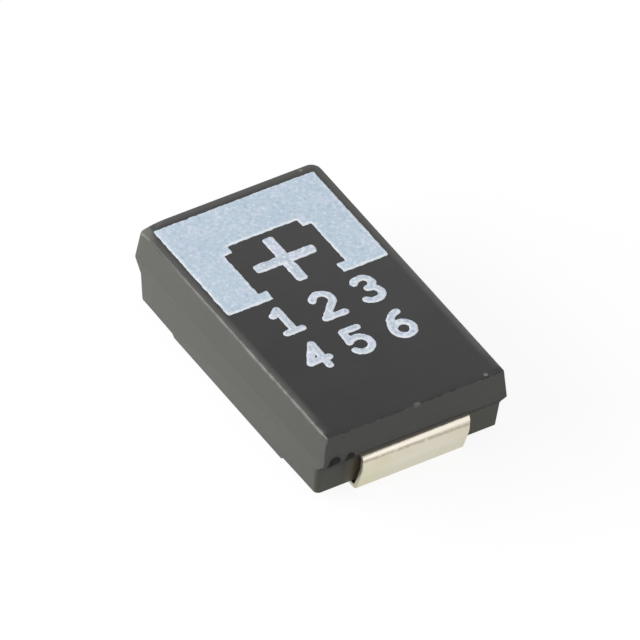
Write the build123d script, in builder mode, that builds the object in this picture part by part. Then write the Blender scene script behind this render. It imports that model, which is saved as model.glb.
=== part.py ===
from build123d import *
import os
from math import tan, radians

# Low-profile chip capacitor with a sintered tantalum anode, moulded in black epoxy.
# Millimetres. The origin is on the board plane under the middle of the part, +Z is up,
# -X is the marked anode end, +X is the plain cathode end.

# Overall size, standing on a board
overall_length = 7.30       # over the outer faces of the two terminals
case_width = 4.30           # at the parting line
overall_height = 1.80       # board plane to the case's top

# Moulded case
parting_height = 1.10       # plane where the two mould halves meet, and the case is widest
board_gap = 0.05            # case floor above the board
terminal_proud = 0.08       # terminal face outside the parting line
upper_end_draft = 2.3       # degrees that the upper ends lean inwards going up
upper_side_draft = 6.8      # degrees that the upper long sides lean inwards going up
lower_end_draft = 5.0       # degrees that the lower ends lean inwards going down
lower_side_draft = 3.0      # degrees that the lower long sides lean inwards going down
end_step_depth = 0.20       # lower end faces stand back from the parting line
end_step_drop = 0.30        # height of the slanted underside above each lower end face
marked_corner_radius = 0.16 # upright corners above the parting line, at the marked end
plain_corner_radius = 0.05  # the same, at the plain end
lower_corner_radius = 0.12  # upright corners below the parting line
top_edge_radius = 0.035     # round the top face
floor_edge_radius = 0.03    # round the underside of each end zone
recess_margin = 0.36        # foot recess runs this much past the foot's tip
foot_clearance = 0.04       # foot's upper side to the recess roof
recess_slope = 0.10         # run of the slanted wall at the recess's inner end

# Terminals, each folded from one plated strip
strip_thickness = 0.10
terminal_width = 2.50
foot_length = 1.30          # outer face to the foot's tip
shoulder_bend_radius = 0.10 # inside radius where the strip turns down
lean_bend_radius = 0.45     # inside radius where the drop starts to lean in
heel_bend_radius = 0.05     # inside radius where the drop turns into the foot
lean_height = 0.66          # the drop is upright above this height
heel_gap = 0.05             # drop's inner side to the lower end face, at the board
inner_bend_radius = 0.05    # inside radius of the bends within the case

# Anode strip inside the case
anode_shoulder = 0.45       # outer face to the start of its step down
anode_step_run = 0.25
weld_tongue_length = 0.70
weld_tongue_width = 1.10
tongue_shoulder = 0.12      # full-width strip left inside the case's end wall

# Cathode strip inside the case
cathode_shoulder = 0.60     # outer face to the start of its step down
cathode_step_run = 0.30
cathode_tab_length = 2.60   # flat tab under the anode body
floor_wall = 0.22           # resin under the tab

# Anode body and its coats
roof_wall = 0.20            # resin over the silver coat
side_wall = 0.42            # resin beside the silver coat, at the parting line
pellet_end_gap = 0.20       # silver coat to the cathode strip's step
tongue_gap = 0.40           # pellet's wire face to the weld tongue
pellet_edge_radius = 0.08
polymer_thickness = 0.04
graphite_thickness = 0.02
silver_thickness = 0.04
graphite_setback = 0.12     # graphite stops short of the wire face
silver_setback = 0.24       # silver stops short of the wire face
adhesive_thickness = 0.03
adhesive_width = 1.90
adhesive_length = 2.00
adhesive_tip_margin = 0.20  # bond starts this far in from the tab's tip

# Anode wire and washer
wire_radius = 0.15
wire_embedment = 1.10       # wire sintered into the pellet
wire_flat_depth = 0.03      # wire pressed flat on the tongue by the weld
wire_end_margin = 0.10      # bare tongue past the wire's end
washer_radius = 0.42
washer_thickness = 0.15

# Gate scar, two pits where the resin runner broke off
gate_pit_radius = 0.15      # outer pit
inner_pit_radius = 0.12
gate_pit_spacing = 0.36
gate_pit_edge = 0.28        # outer pit to the case's long side
gate_pit_inset = 0.03       # pit centres inside the parting line

# Printed marks, laid flush in the top
mark_depth = 0.02
band_length = 2.85
band_end_margin = 0.23      # band to the top face's marked end
band_side_margin = 0.19     # band to the top face's long edges
band_corner_radius = 0.05
window_width = 2.04         # dark window between the band's arms
window_reach = 1.76         # window's depth from the band's open side
window_step = 0.21          # stair step in the window's blind corners
tab_length = 0.27           # tabs that narrow the window's mouth
tab_reach = 0.20
plus_size = 1.41
plus_bar = 0.25
plus_end_radius = 0.06
plus_margin = 0.16          # plus sign to the window's blind side

edge_tolerance = 0.001      # for picking edges by height

os.makedirs("parts", exist_ok=True)

# Heights and lengths that follow from the sizes above
terminal_face = overall_length / 2
parting_half_length = terminal_face - terminal_proud
parting_half_width = case_width / 2
upper_height = overall_height - parting_height
top_half_length = parting_half_length - upper_height * tan(radians(upper_end_draft))
top_half_width = parting_half_width - upper_height * tan(radians(upper_side_draft))
step_foot_height = parting_height - end_step_drop
lower_half_length = parting_half_length - end_step_depth
recess_roof = strip_thickness + foot_clearance
recess_end = lower_half_length - (step_foot_height - recess_roof) * tan(radians(lower_end_draft))
recess_start = terminal_face - foot_length - recess_margin
floor_half_width = parting_half_width - (parting_height - board_gap) * tan(radians(lower_side_draft))

# Centre lines of the strip: exit level, drop and foot
exit_height = parting_height - strip_thickness / 2
drop_x = terminal_face - strip_thickness / 2
heel_x = recess_end + heel_gap + strip_thickness / 2
foot_height = strip_thickness / 2
foot_tip = terminal_face - foot_length

# Stack between floor and roof
tab_height = board_gap + floor_wall + strip_thickness / 2
tab_top = tab_height + strip_thickness / 2
coat_total = polymer_thickness + graphite_thickness + silver_thickness
silver_bottom = tab_top + adhesive_thickness
silver_top = overall_height - roof_wall
pellet_thickness = silver_top - silver_bottom - 2 * coat_total
pellet_height = (silver_top + silver_bottom) / 2
pellet_width = case_width - 2 * side_wall - 2 * coat_total

# Layout along the part
cathode_step_x = terminal_face - cathode_shoulder
tab_start = cathode_step_x - cathode_step_run
tab_tip = tab_start - cathode_tab_length
silver_end = tab_start - pellet_end_gap
pellet_end = silver_end - coat_total
anode_step_x = -terminal_face + anode_shoulder
tongue_start = anode_step_x + anode_step_run
tongue_tip = tongue_start + weld_tongue_length
wire_face = tongue_tip + tongue_gap
pellet_length = pellet_end - wire_face
wire_end = tongue_start + wire_end_margin
tongue_top = pellet_height - wire_radius + wire_flat_depth
tongue_height = tongue_top - strip_thickness / 2


def bend(inside_radius):
    """Radius of a bend on the strip's centre line."""
    return inside_radius + strip_thickness / 2


def folded_strip(centre_line):
    """The plated strip, swept along its folded centre line in the XZ plane."""
    section_plane = Plane(origin=centre_line @ 0, x_dir=(0, 1, 0), z_dir=centre_line % 0)
    with BuildPart() as strip:
        with BuildSketch(section_plane):
            Rectangle(terminal_width, strip_thickness)
        sweep(path=centre_line)
    return strip.part


def block_round_pellet(cover, near_end, far_end):
    """A block with the pellet's section grown by cover, between two places along X."""
    with BuildPart() as block:
        with BuildSketch(Plane.YZ.offset(near_end)):
            with Locations((0, pellet_height)):
                RectangleRounded(
                    pellet_width + 2 * cover,
                    pellet_thickness + 2 * cover,
                    pellet_edge_radius + cover,
                )
        extrude(amount=far_end - near_end)
    return block.part


def is_upright_corner(edge):
    """Whether an edge of the case is where an end meets a long side."""
    return abs((edge % 0.5).Z) > 0.5 and abs(edge.center().X) > recess_end - lower_corner_radius


# Outside the case both terminals have the same drop, heel and foot
outside_points = [
    (drop_x, exit_height),
    (drop_x, lean_height),
    (heel_x, foot_height),
    (foot_tip, foot_height),
]
fold_radii = [
    bend(inner_bend_radius),
    bend(inner_bend_radius),
    bend(shoulder_bend_radius),
    bend(lean_bend_radius),
    bend(heel_bend_radius),
]

# Cathode terminal: tab under the anode body, step up, exit at the parting line, drop and foot
with BuildLine(Plane.XZ) as cathode_line:
    FilletPolyline(
        (tab_tip, tab_height),
        (tab_start, tab_height),
        (cathode_step_x, exit_height),
        *outside_points,
        radius=fold_radii,
    )
with BuildPart() as cathode_terminal:
    add(folded_strip(cathode_line.wire()))
cathode_terminal.part.label = "cathode_terminal"

# Anode terminal: the same outside, and a step down to a narrow weld tongue under the wire
with BuildLine(Plane.XZ) as anode_line:
    FilletPolyline(
        (tongue_tip, tongue_height),
        (tongue_start, tongue_height),
        (anode_step_x, exit_height),
        *[(-x, z) for x, z in outside_points],
        radius=fold_radii,
    )
trim_start = tongue_shoulder - lower_half_length
trim_width = (terminal_width - weld_tongue_width) / 2
with BuildPart() as anode_terminal:
    add(folded_strip(anode_line.wire()))
    with BuildSketch(Plane.XY.offset(tongue_height - strip_thickness / 2)):
        for side in (-1, 1):
            with Locations((trim_start, side * weld_tongue_width / 2)):
                Rectangle(
                    tongue_tip - trim_start,
                    trim_width,
                    align=(Align.MIN, Align.MIN if side > 0 else Align.MAX),
                )
    extrude(amount=parting_height - tongue_height + strip_thickness, mode=Mode.SUBTRACT)
anode_terminal.part.label = "anode_terminal"

# Tantalum wire, sintered into the pellet and pressed flat where it is welded to the tongue
with BuildPart() as anode_wire:
    with BuildSketch(Plane.YZ.offset(wire_end)):
        with Locations((0, pellet_height)):
            Circle(wire_radius)
    extrude(amount=wire_face + wire_embedment - wire_end)
    with BuildSketch(Plane.XY.offset(tongue_top)):
        with Locations((wire_end, 0)):
            Rectangle(tongue_tip - wire_end, 2 * wire_radius, align=(Align.MIN, Align.CENTER))
    extrude(amount=-wire_flat_depth, mode=Mode.SUBTRACT)
anode_wire.part.label = "anode_wire"

# Insulating washer threaded on the wire, against the pellet
with BuildPart() as insulating_washer:
    with BuildSketch(Plane.YZ.offset(wire_face)):
        with Locations((0, pellet_height)):
            Circle(washer_radius)
            Circle(wire_radius, mode=Mode.SUBTRACT)
    extrude(amount=-washer_thickness)
insulating_washer.part.label = "insulating_washer"

# Pellet pressed and sintered from tantalum powder round the wire's end
with BuildPart() as anode_pellet:
    add(block_round_pellet(0, wire_face, pellet_end))
    add(anode_wire.part, mode=Mode.SUBTRACT)
anode_pellet.part.label = "anode_pellet"

# Solid electrolyte over the whole pellet, up to the washer
polymer_block = block_round_pellet(
    polymer_thickness, wire_face - polymer_thickness, pellet_end + polymer_thickness
)
with BuildPart() as electrolyte_coat:
    add(polymer_block)
    add(block_round_pellet(0, wire_face, pellet_end), mode=Mode.SUBTRACT)
    with BuildSketch(Plane.YZ.offset(wire_face)):
        with Locations((0, pellet_height)):
            Circle(washer_radius)
    extrude(amount=-polymer_thickness, mode=Mode.SUBTRACT)
electrolyte_coat.part.label = "electrolyte_coat"

# Graphite, dipped from the far end and stopping short of the wire face
graphite_cover = polymer_thickness + graphite_thickness
graphite_block = block_round_pellet(
    graphite_cover, wire_face + graphite_setback, pellet_end + graphite_cover
)
with BuildPart() as graphite_coat:
    add(graphite_block)
    add(polymer_block, mode=Mode.SUBTRACT)
graphite_coat.part.label = "graphite_coat"

# Silver paint over the graphite
with BuildPart() as silver_coat:
    add(block_round_pellet(coat_total, wire_face + silver_setback, silver_end))
    add(graphite_block, mode=Mode.SUBTRACT)
silver_coat.part.label = "silver_coat"

# Conductive adhesive between the silver and the cathode tab
with BuildPart() as cathode_adhesive:
    with BuildSketch(Plane.XY.offset(tab_top)):
        with Locations((tab_tip + adhesive_tip_margin, 0)):
            Rectangle(adhesive_length, adhesive_width, align=(Align.MIN, Align.CENTER))
    extrude(amount=adhesive_thickness)
cathode_adhesive.part.label = "cathode_adhesive"

# Polarity band at the anode end: a rectangle with a stepped window open towards the middle
mark_floor = overall_height - mark_depth
band_start = band_end_margin - top_half_length
band_open_side = band_start + band_length
window_blind_side = band_open_side - window_reach
with BuildPart() as polarity_band:
    with BuildSketch(Plane.XY.offset(mark_floor)):
        with Locations((band_start, 0)):
            Rectangle(
                band_length, 2 * (top_half_width - band_side_margin), align=(Align.MIN, Align.CENTER)
            )
        with Locations((window_blind_side, 0)):
            Rectangle(
                window_reach,
                window_width - 2 * tab_reach,
                align=(Align.MIN, Align.CENTER),
                mode=Mode.SUBTRACT,
            )
        with Locations((window_blind_side + window_step, 0)):
            Rectangle(
                window_reach - window_step - tab_length,
                window_width,
                align=(Align.MIN, Align.CENTER),
                mode=Mode.SUBTRACT,
            )
        fillet(vertices(), radius=band_corner_radius)
    extrude(amount=mark_depth)
polarity_band.part.label = "polarity_band"

# Plus sign in the band's window
plus_x = window_blind_side + plus_margin + plus_size / 2
with BuildPart() as plus_sign:
    with BuildSketch(Plane.XY.offset(mark_floor)):
        with Locations((plus_x, 0)):
            RectangleRounded(plus_size, plus_bar, plus_end_radius)
            RectangleRounded(plus_bar, plus_size, plus_end_radius)
    extrude(amount=mark_depth)
plus_sign.part.label = "plus_sign"

# Moulded case: the end-to-end profile crossed with the section over the width, whose upper
# and lower halves come from two mould halves with their own corner radii
case_profile = [
    (0, board_gap),
    (recess_start, board_gap),
    (recess_start + recess_slope, recess_roof),
    (recess_end, recess_roof),
    (lower_half_length, step_foot_height),
    (parting_half_length, parting_height),
    (top_half_length, overall_height),
    (0, overall_height),
]
case_section = [
    (0, board_gap),
    (floor_half_width, board_gap),
    (parting_half_width, parting_height),
    (top_half_width, overall_height),
    (0, overall_height),
]
gate_x = parting_half_length - gate_pit_inset
gate_y = gate_pit_edge - parting_half_width
moulded_in = [
    anode_terminal,
    cathode_terminal,
    anode_wire,
    insulating_washer,
    anode_pellet,
    electrolyte_coat,
    graphite_coat,
    silver_coat,
    cathode_adhesive,
    polarity_band,
    plus_sign,
]
with BuildPart() as case_block:
    with BuildSketch(Plane.XZ):
        with BuildLine():
            Polyline(*case_profile)
            mirror(about=Plane.YZ)
        make_face()
    extrude(amount=parting_half_width, both=True)
    with BuildSketch(Plane.YZ):
        with BuildLine():
            Polyline(*case_section)
            mirror(about=Plane.YZ)
        make_face()
    extrude(amount=parting_half_length, both=True, mode=Mode.INTERSECT)
with BuildPart() as lower_half:
    add(case_block.part)
    split(bisect_by=Plane.XY.offset(parting_height), keep=Keep.BOTTOM)
    fillet(lower_half.edges().filter_by(is_upright_corner), radius=lower_corner_radius)
with BuildPart() as case:
    add(case_block.part)
    split(bisect_by=Plane.XY.offset(parting_height), keep=Keep.TOP)
    # Rounded upright corners, top edge and underside edges
    marked_corners = case.edges().filter_by(is_upright_corner).sort_by(Axis.X)[:2]
    fillet(marked_corners, radius=marked_corner_radius)
    plain_corners = case.edges().filter_by(is_upright_corner).sort_by(Axis.X)[-2:]
    fillet(plain_corners, radius=plain_corner_radius)
    fillet(case.faces().sort_by(Axis.Z)[-1].edges(), radius=top_edge_radius)
    add(lower_half.part)
    underside_edges = case.edges().filter_by(
        lambda edge: edge.center().Z < recess_roof + edge_tolerance
        and (
            abs(edge.center().Y) > floor_half_width - lower_corner_radius
            or abs(edge.center().X) > recess_end - lower_corner_radius
        )
    )
    fillet(underside_edges, radius=floor_edge_radius)
    # Pits of the broken gate on the parting line of the plain end
    with Locations((gate_x, gate_y, parting_height)):
        Sphere(gate_pit_radius, mode=Mode.SUBTRACT)
    with Locations((gate_x, gate_y + gate_pit_spacing, parting_height)):
        Sphere(inner_pit_radius, mode=Mode.SUBTRACT)
    # The resin fills every space round what it was moulded on, and leaves room for the marks
    for held in moulded_in:
        add(held.part, mode=Mode.SUBTRACT)
case.part.label = "case"

for piece in (case, *moulded_in):
    export_step(piece.part, f"parts/{piece.part.label}.step")
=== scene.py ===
# %% [markdown]
# # A moulded tantalum chip capacitor
#
# This notebook dresses a imported CAD model of a small surface-mount capacitor: a black epoxy block on
# two folded, tin-plated terminals, with a pale printed band and plus sign on its top.
#
# The CAD model stays the fixed frame. Here every visible piece gets its finish, and the pieces whose
# edges need more care than a CAD export gives are built again in the same place and form. The first cell
# loads the model.

import math
from types import SimpleNamespace

import bmesh
import bpy
import numpy as np
from mathutils import Matrix, Vector, noise


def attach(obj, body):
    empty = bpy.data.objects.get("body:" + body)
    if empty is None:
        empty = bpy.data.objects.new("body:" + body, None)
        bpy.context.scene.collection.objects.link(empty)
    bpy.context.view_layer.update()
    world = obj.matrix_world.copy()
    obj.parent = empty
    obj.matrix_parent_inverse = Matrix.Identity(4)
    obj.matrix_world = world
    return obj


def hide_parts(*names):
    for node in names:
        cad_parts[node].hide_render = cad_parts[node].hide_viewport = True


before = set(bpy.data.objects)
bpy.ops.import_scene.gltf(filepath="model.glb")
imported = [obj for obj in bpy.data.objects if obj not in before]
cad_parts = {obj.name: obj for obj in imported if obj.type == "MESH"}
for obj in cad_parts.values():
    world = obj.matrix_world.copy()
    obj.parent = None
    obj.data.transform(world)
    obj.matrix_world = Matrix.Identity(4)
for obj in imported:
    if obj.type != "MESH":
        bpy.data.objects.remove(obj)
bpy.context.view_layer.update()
MM = 0.001
print("nodes:", ", ".join(sorted(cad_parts)))

# %% [markdown]
# ## Sizes
#
# The sizes are those of the CAD source, in millimetres, because a reader thinks about a chip in
# millimetres. Only the last step of each mesh turns them into Blender's metres. Writing them once,
# with names, keeps the case, its wear and its marks in step with each other.

# %% Sizes of the case
terminal_face = 3.65
parting_height = 1.10
parting_half_length = terminal_face - 0.08
parting_half_width = 2.15
overall_height = 1.80
board_gap = 0.05
upper_end_slope = math.tan(math.radians(2.3))
upper_side_slope = math.tan(math.radians(6.8))
lower_end_slope = math.tan(math.radians(5.0))
lower_side_slope = math.tan(math.radians(3.0))
step_foot_height = parting_height - 0.30
lower_half_length = parting_half_length - 0.20
recess_roof = 0.14
recess_end = lower_half_length - (step_foot_height - recess_roof) * lower_end_slope
recess_start = 1.99
recess_slope = 0.10
top_half_length = parting_half_length - (overall_height - parting_height) * upper_end_slope
top_half_width = parting_half_width - (overall_height - parting_height) * upper_side_slope
print("top face:", round(2 * top_half_length, 3), "by", round(2 * top_half_width, 3), "mm")

# %% [markdown]
# ## Camera
#
# The part is small and was pictured from far away through a long lens, so its edges stay almost
# parallel. A camera 33 cm away with a very long lens gives the same look. It looks down over one
# corner, slightly turned about its own axis.


# %% Camera
def placed(name, data):
    """A new object in the scene, at the origin."""
    thing = bpy.data.objects.new(name, data)
    bpy.context.scene.collection.objects.link(thing)
    return thing


azimuth, elevation, roll = (math.radians(angle) for angle in (55.54, 42.14, 3.72))
camera_distance, across, upwards = 331.166, 0.062, 0.918
focal_length, sensor_width = 937.36, 36

horizontal = math.cos(elevation)
back = Vector((math.sin(azimuth) * horizontal, -math.cos(azimuth) * horizontal, math.sin(elevation)))
right = Vector((0, 0, 1)).cross(back).normalized()
above = back.cross(right)
right, above = (
    right * math.cos(roll) + above * math.sin(roll),
    above * math.cos(roll) - right * math.sin(roll),
)
lens = bpy.data.cameras.new("camera")
lens.sensor_width = sensor_width
lens.lens = focal_length
lens.clip_start, lens.clip_end = 0.02, 5
camera = placed("camera", lens)
camera.matrix_world = Matrix.Translation(
    (back * camera_distance + right * across + above * upwards) * MM
) @ Matrix((right, above, back)).transposed().to_4x4()
bpy.context.scene.camera = camera
print("camera at", [round(v, 4) for v in camera.matrix_world.translation])

# %% [markdown]
# ## Shader maths as Python
#
# A material is a formula over the place on the surface. Wiring Math nodes by hand hides that formula,
# so a small class wraps one output of a node and lets `1 - mask * 0.5` add the Math nodes. Its methods
# differ only in the operation, so one function makes them. Every other node comes from one method of
# the tree: its type, then its settings, then its sockets.


# %% Node trees that read like formulas
def maths(operation, swapped=False):
    """A method that adds one Math node. If swapped, the other value comes before the signal."""

    def method(self, *others):
        values = (*others, self) if swapped else (self, *others)
        return self.tree.add("ShaderNodeMath", {"operation": operation}, dict(enumerate(values)))

    return method


class Signal:
    """One output of a node. Arithmetic on it adds the Math nodes that do it."""

    def __init__(self, tree, socket):
        self.tree, self.socket = tree, socket

    __add__, __radd__ = maths("ADD"), maths("ADD", swapped=True)
    __sub__, __rsub__ = maths("SUBTRACT"), maths("SUBTRACT", swapped=True)
    __mul__, __rmul__ = maths("MULTIPLY"), maths("MULTIPLY", swapped=True)
    __truediv__, __abs__ = maths("DIVIDE"), maths("ABSOLUTE")
    smaller, larger = maths("MINIMUM"), maths("MAXIMUM")
    sign, sine = maths("SIGN"), maths("SINE")

    def rises(self, low, high):
        """0 below low, 1 above high, and smooth between them. It falls if low is the larger."""
        sockets = {"Value": self, "From Min": low, "From Max": high}
        return self.tree.add("ShaderNodeMapRange", {"interpolation_type": "SMOOTHSTEP"}, sockets)

    def towards(self, factor, *colour):
        """This colour where factor is 0. Where it is 1, the one given as a screen shows it."""
        return self.tree.blend(factor, self, shown(*colour))


class Tree:
    """A node tree that is written node by node, with few words for each."""

    def __init__(self, node_tree):
        self.node_tree = node_tree

    def add(self, kind, settings=None, sockets=None, output=0):
        node = self.node_tree.nodes.new(kind)
        for name, value in (settings or {}).items():
            setattr(node, name, value)
        for key, value in (sockets or {}).items():
            if isinstance(value, Signal):
                self.node_tree.links.new(value.socket, node.inputs[key])
            else:
                node.inputs[key].default_value = value
        return None if output is None else Signal(self, node.outputs[output])

    def noise(self, place, scale, detail=2.0, roughness=0.5, distortion=0.0):
        """Smooth noise round 0.5. scale is in bumps for each millimetre."""
        sockets = {"Vector": place, "Scale": scale, "Detail": detail, "Roughness": roughness}
        return self.add("ShaderNodeTexNoise", None, {**sockets, "Distortion": distortion})

    def cells(self, place, scale):
        """Distance to the nearest of scattered points. scale is in points for each millimetre."""
        return self.add("ShaderNodeTexVoronoi", None, {"Vector": place, "Scale": scale})

    def stretched(self, place, x, y, z):
        """The place with each of its coordinates multiplied, which squeezes a pattern that way."""
        return self.add("ShaderNodeVectorMath", {"operation": "MULTIPLY"}, {0: place, 1: (x, y, z)})

    def blend(self, factor, first, second):
        """first where factor is 0, second where it is 1. Both are colours."""
        sockets = {0: factor, 6: first, 7: second}
        return self.add("ShaderNodeMix", {"data_type": "RGBA"}, sockets, output=2)

    def relief(self, height, depth):
        """A normal for a surface whose height, 0 to 1, stands for depth millimetres."""
        return self.add(
            "ShaderNodeBump", None, {"Height": height, "Strength": 1.0, "Distance": depth * MM}
        )

    def coordinates(self, place):
        """The three coordinates of a place, each as a signal of its own."""
        split = self.add("ShaderNodeSeparateXYZ", None, {0: place})
        return [Signal(self, socket) for socket in split.socket.node.outputs]


def empty_tree(owner):
    """The node tree of a new material or world, with nothing in it yet."""
    owner.use_nodes = True
    owner.node_tree.nodes.clear()
    return Tree(owner.node_tree)


# %% [markdown]
# A finish is a function that takes the tree and the place in millimetres, and returns only what
# varies over the surface. What is the same everywhere goes straight onto the shader's own sockets.
# Colours are given as a screen shows them and turned into the light values that shaders work in.


# %% Colours and finishes
def shown(red, green, blue):
    """A colour as a screen shows it, 0 to 255, as light values."""
    levels = [v / 255 for v in (red, green, blue)]
    return (*[v / 12.92 if v <= 0.04045 else ((v + 0.055) / 1.055) ** 2.4 for v in levels], 1.0)


def look(colour, roughness, normal, **others):
    """What varies over a surface, by the names of the shader's sockets."""
    return {"Base Color": colour, "Roughness": roughness, "Normal": normal, **others}


def finish(name, varied, **constant):
    """A material whose varied sockets come from varied(tree, place), with place in millimetres."""
    material = bpy.data.materials.new(name)
    tree = empty_tree(material)
    coordinates = tree.add("ShaderNodeTexCoord", output="Object")
    place = tree.add(
        "ShaderNodeVectorMath", {"operation": "SCALE"}, {0: coordinates, "Scale": 1 / MM}
    )
    sockets = {key.replace("_", " "): value for key, value in constant.items()}
    sockets.update(varied(tree, place))
    shader = tree.add("ShaderNodeBsdfPrincipled", None, sockets)
    tree.add("ShaderNodeOutputMaterial", None, {"Surface": shader}, output=None)
    print("finish", name, "has", len(material.node_tree.nodes), "nodes")
    return material


# %% [markdown]
# ## Stage
#
# The floor is plain and pale. To the camera, and in what shines, it is white; for the light that
# spreads from it, it is matt white paper. Light Path tells the two apart. A share of its white is
# real light on matt paper, so the part keeps a soft shadow. Seen from below it is clear, so that the
# underside can be looked at, and it lies a few thousandths of a millimetre under the feet, so that the
# two faces never coincide.


# %% Floor
paper_white, seen_paper, seen_glow = 0.80, 0.095, 0.912
floor_reach, floor_height = 0.6, -0.005 * MM


def grey(level):
    return (level, level, level, 1)


def floor_finish():
    material = bpy.data.materials.new("stage_paper")
    tree = empty_tree(material)
    seen = tree.add("ShaderNodeLightPath", output="Is Camera Ray")
    for ray in ("Is Glossy Ray", "Is Transmission Ray"):
        seen = seen.larger(tree.add("ShaderNodeLightPath", output=ray))
    paper = tree.add(
        "ShaderNodeBsdfDiffuse",
        None,
        {"Color": tree.blend(seen, grey(paper_white), grey(seen_paper))},
    )
    glow = tree.add("ShaderNodeEmission", None, {"Color": grey(1), "Strength": seen * seen_glow})
    lit = tree.add("ShaderNodeAddShader", None, {0: paper, 1: glow})
    clear = tree.add("ShaderNodeBsdfTransparent")
    below = tree.add("ShaderNodeNewGeometry", output="Backfacing")
    surface = tree.add("ShaderNodeMixShader", None, {0: below, 1: lit, 2: clear})
    tree.add("ShaderNodeOutputMaterial", None, {"Surface": surface}, output=None)
    return material


corners = ((-1, -1), (1, -1), (1, 1), (-1, 1))
floor_mesh = bpy.data.meshes.new("floor")
floor_mesh.from_pydata(
    [(x * floor_reach, y * floor_reach, floor_height) for x, y in corners], [], [(0, 1, 2, 3)]
)
floor_mesh.materials.append(floor_finish())
floor = placed("floor", floor_mesh)
print("floor is", floor.dimensions.x, "m wide")

# %% [markdown]
# The world is the inside of a light tent. It fills every side with soft light. What shines sees white
# walls near the floor and a dimmer far ceiling, which keeps the matt black top darker than the sides.
# Two softboxes do the modelling: a broad low one at the camera's left, which brightens the long side
# and its upper edge, and a lower one at the right, which the terminal's bend catches.


# %% World and lamps
world = bpy.data.worlds.new("tent")
bpy.context.scene.world = world
tent = empty_tree(world)
camera_ray = tent.add("ShaderNodeLightPath", output="Is Camera Ray").larger(
    tent.add("ShaderNodeLightPath", output="Is Transmission Ray")
)
glossy_ray = tent.add("ShaderNodeLightPath", output="Is Glossy Ray")
direction = tent.add("ShaderNodeTexCoord", output="Generated")
ceiling = tent.coordinates(direction)[2].rises(0.10, 0.50)
fill, ceiling_loss = 0.42, 0.65
strength = fill + glossy_ray * ((1 - ceiling * ceiling_loss) - fill)
strength = strength + camera_ray * (1 - strength)
light = tent.add("ShaderNodeBackground", None, {"Color": grey(1), "Strength": strength})
tent.add("ShaderNodeOutputWorld", None, {"Surface": light}, output=None)


def softbox(name, towards, distance, width, height, brightness):
    """A rectangular lamp that faces the part. Its power follows from how bright its face looks."""
    lamp = bpy.data.lights.new(name, "AREA")
    lamp.shape = "RECTANGLE"
    lamp.size, lamp.size_y = width, height
    lamp.energy = brightness * math.pi * width * height
    holder = placed(name, lamp)
    heading = Vector(towards).normalized()
    holder.matrix_world = (
        Matrix.Translation(heading * distance) @ heading.to_track_quat("Z", "Y").to_matrix().to_4x4()
    )
    print(name, "gives", round(lamp.energy, 4), "W")
    return holder


softbox("left_softbox", (-0.45, -0.82, 0.36), 0.25, 0.30, 0.14, 9.2)
softbox("back_softbox", (0.82, 0.42, 0.22), 0.25, 0.20, 0.08, 1.1)

# %% [markdown]
# ## Moulded case
#
# The case is one epoxy moulding. Its two halves are drafted so that they leave the mould, and meet at
# a parting line where the case is widest. The same shape could be subdivided from a cube, but its
# edges would then be guesses. Here its end-to-end profile is crossed with its width at each height,
# which gives the exact flat faces. Bevel modifiers then round each edge by its own weight.


# %% Case faces
def half_width(height):
    """Half of the case's width at a height."""
    if height > parting_height:
        return parting_half_width - (height - parting_height) * upper_side_slope
    return parting_half_width - (parting_height - height) * lower_side_slope


right_profile = [
    (top_half_length, overall_height),
    (parting_half_length, parting_height),
    (lower_half_length, step_foot_height),
    (recess_end, recess_roof),
    (recess_start + recess_slope, recess_roof),
    (recess_start, board_gap),
]
profile = right_profile + [(-x, z) for x, z in reversed(right_profile)]
count = len(profile)

bm = bmesh.new()
front = [bm.verts.new((x, -half_width(z), z)) for x, z in profile]
rear = [bm.verts.new((x, half_width(z), z)) for x, z in profile]
for i in range(count):
    j = (i + 1) % count
    bm.faces.new((front[i], front[j], rear[j], rear[i]))
for side in (front, rear):
    bm.faces.new((side[0], side[1], side[-2], side[-1]))
    bm.faces.new(side[1:-1])
bmesh.ops.recalc_face_normals(bm, faces=bm.faces)
print("case has", len(bm.faces), "flat faces")

# %% [markdown]
# The upright corners are rounded first, so that the edges round the top can then run smoothly round
# them. One Bevel gives them all the same radius. Each arc is then scaled about its sharp corner, which
# changes its radius: at the marked end the corners open out from the parting line to the top, and at
# the plain end they are nearly sharp. The lower half is rounder, except at one corner.


# %% Case corners
def finished_mesh(name, bm):
    """A mesh in metres from a bmesh in millimetres."""
    bm.transform(Matrix.Scale(MM, 4))
    mesh = bpy.data.meshes.new(name)
    bm.to_mesh(mesh)
    bm.free()
    return mesh


def bake_modifiers(piece):
    """Turns what a piece's modifiers make into its own plain mesh."""
    graph = bpy.context.evaluated_depsgraph_get()
    mesh = bpy.data.meshes.new_from_object(
        piece.evaluated_get(graph), preserve_all_data_layers=True, depsgraph=graph
    )
    mesh.name = piece.name
    piece.modifiers.clear()
    piece.data = mesh
    print(piece.name, "has", len(mesh.polygons), "faces")


def add_rounding(piece, widest, segments):
    """A Bevel that rounds each edge by its weight. widest is the radius for a weight of 1."""
    rounding = piece.modifiers.new("rounding", "BEVEL")
    rounding.limit_method = "WEIGHT"
    rounding.width = widest * MM
    rounding.segments = segments
    rounding.use_clamp_overlap = False


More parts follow.
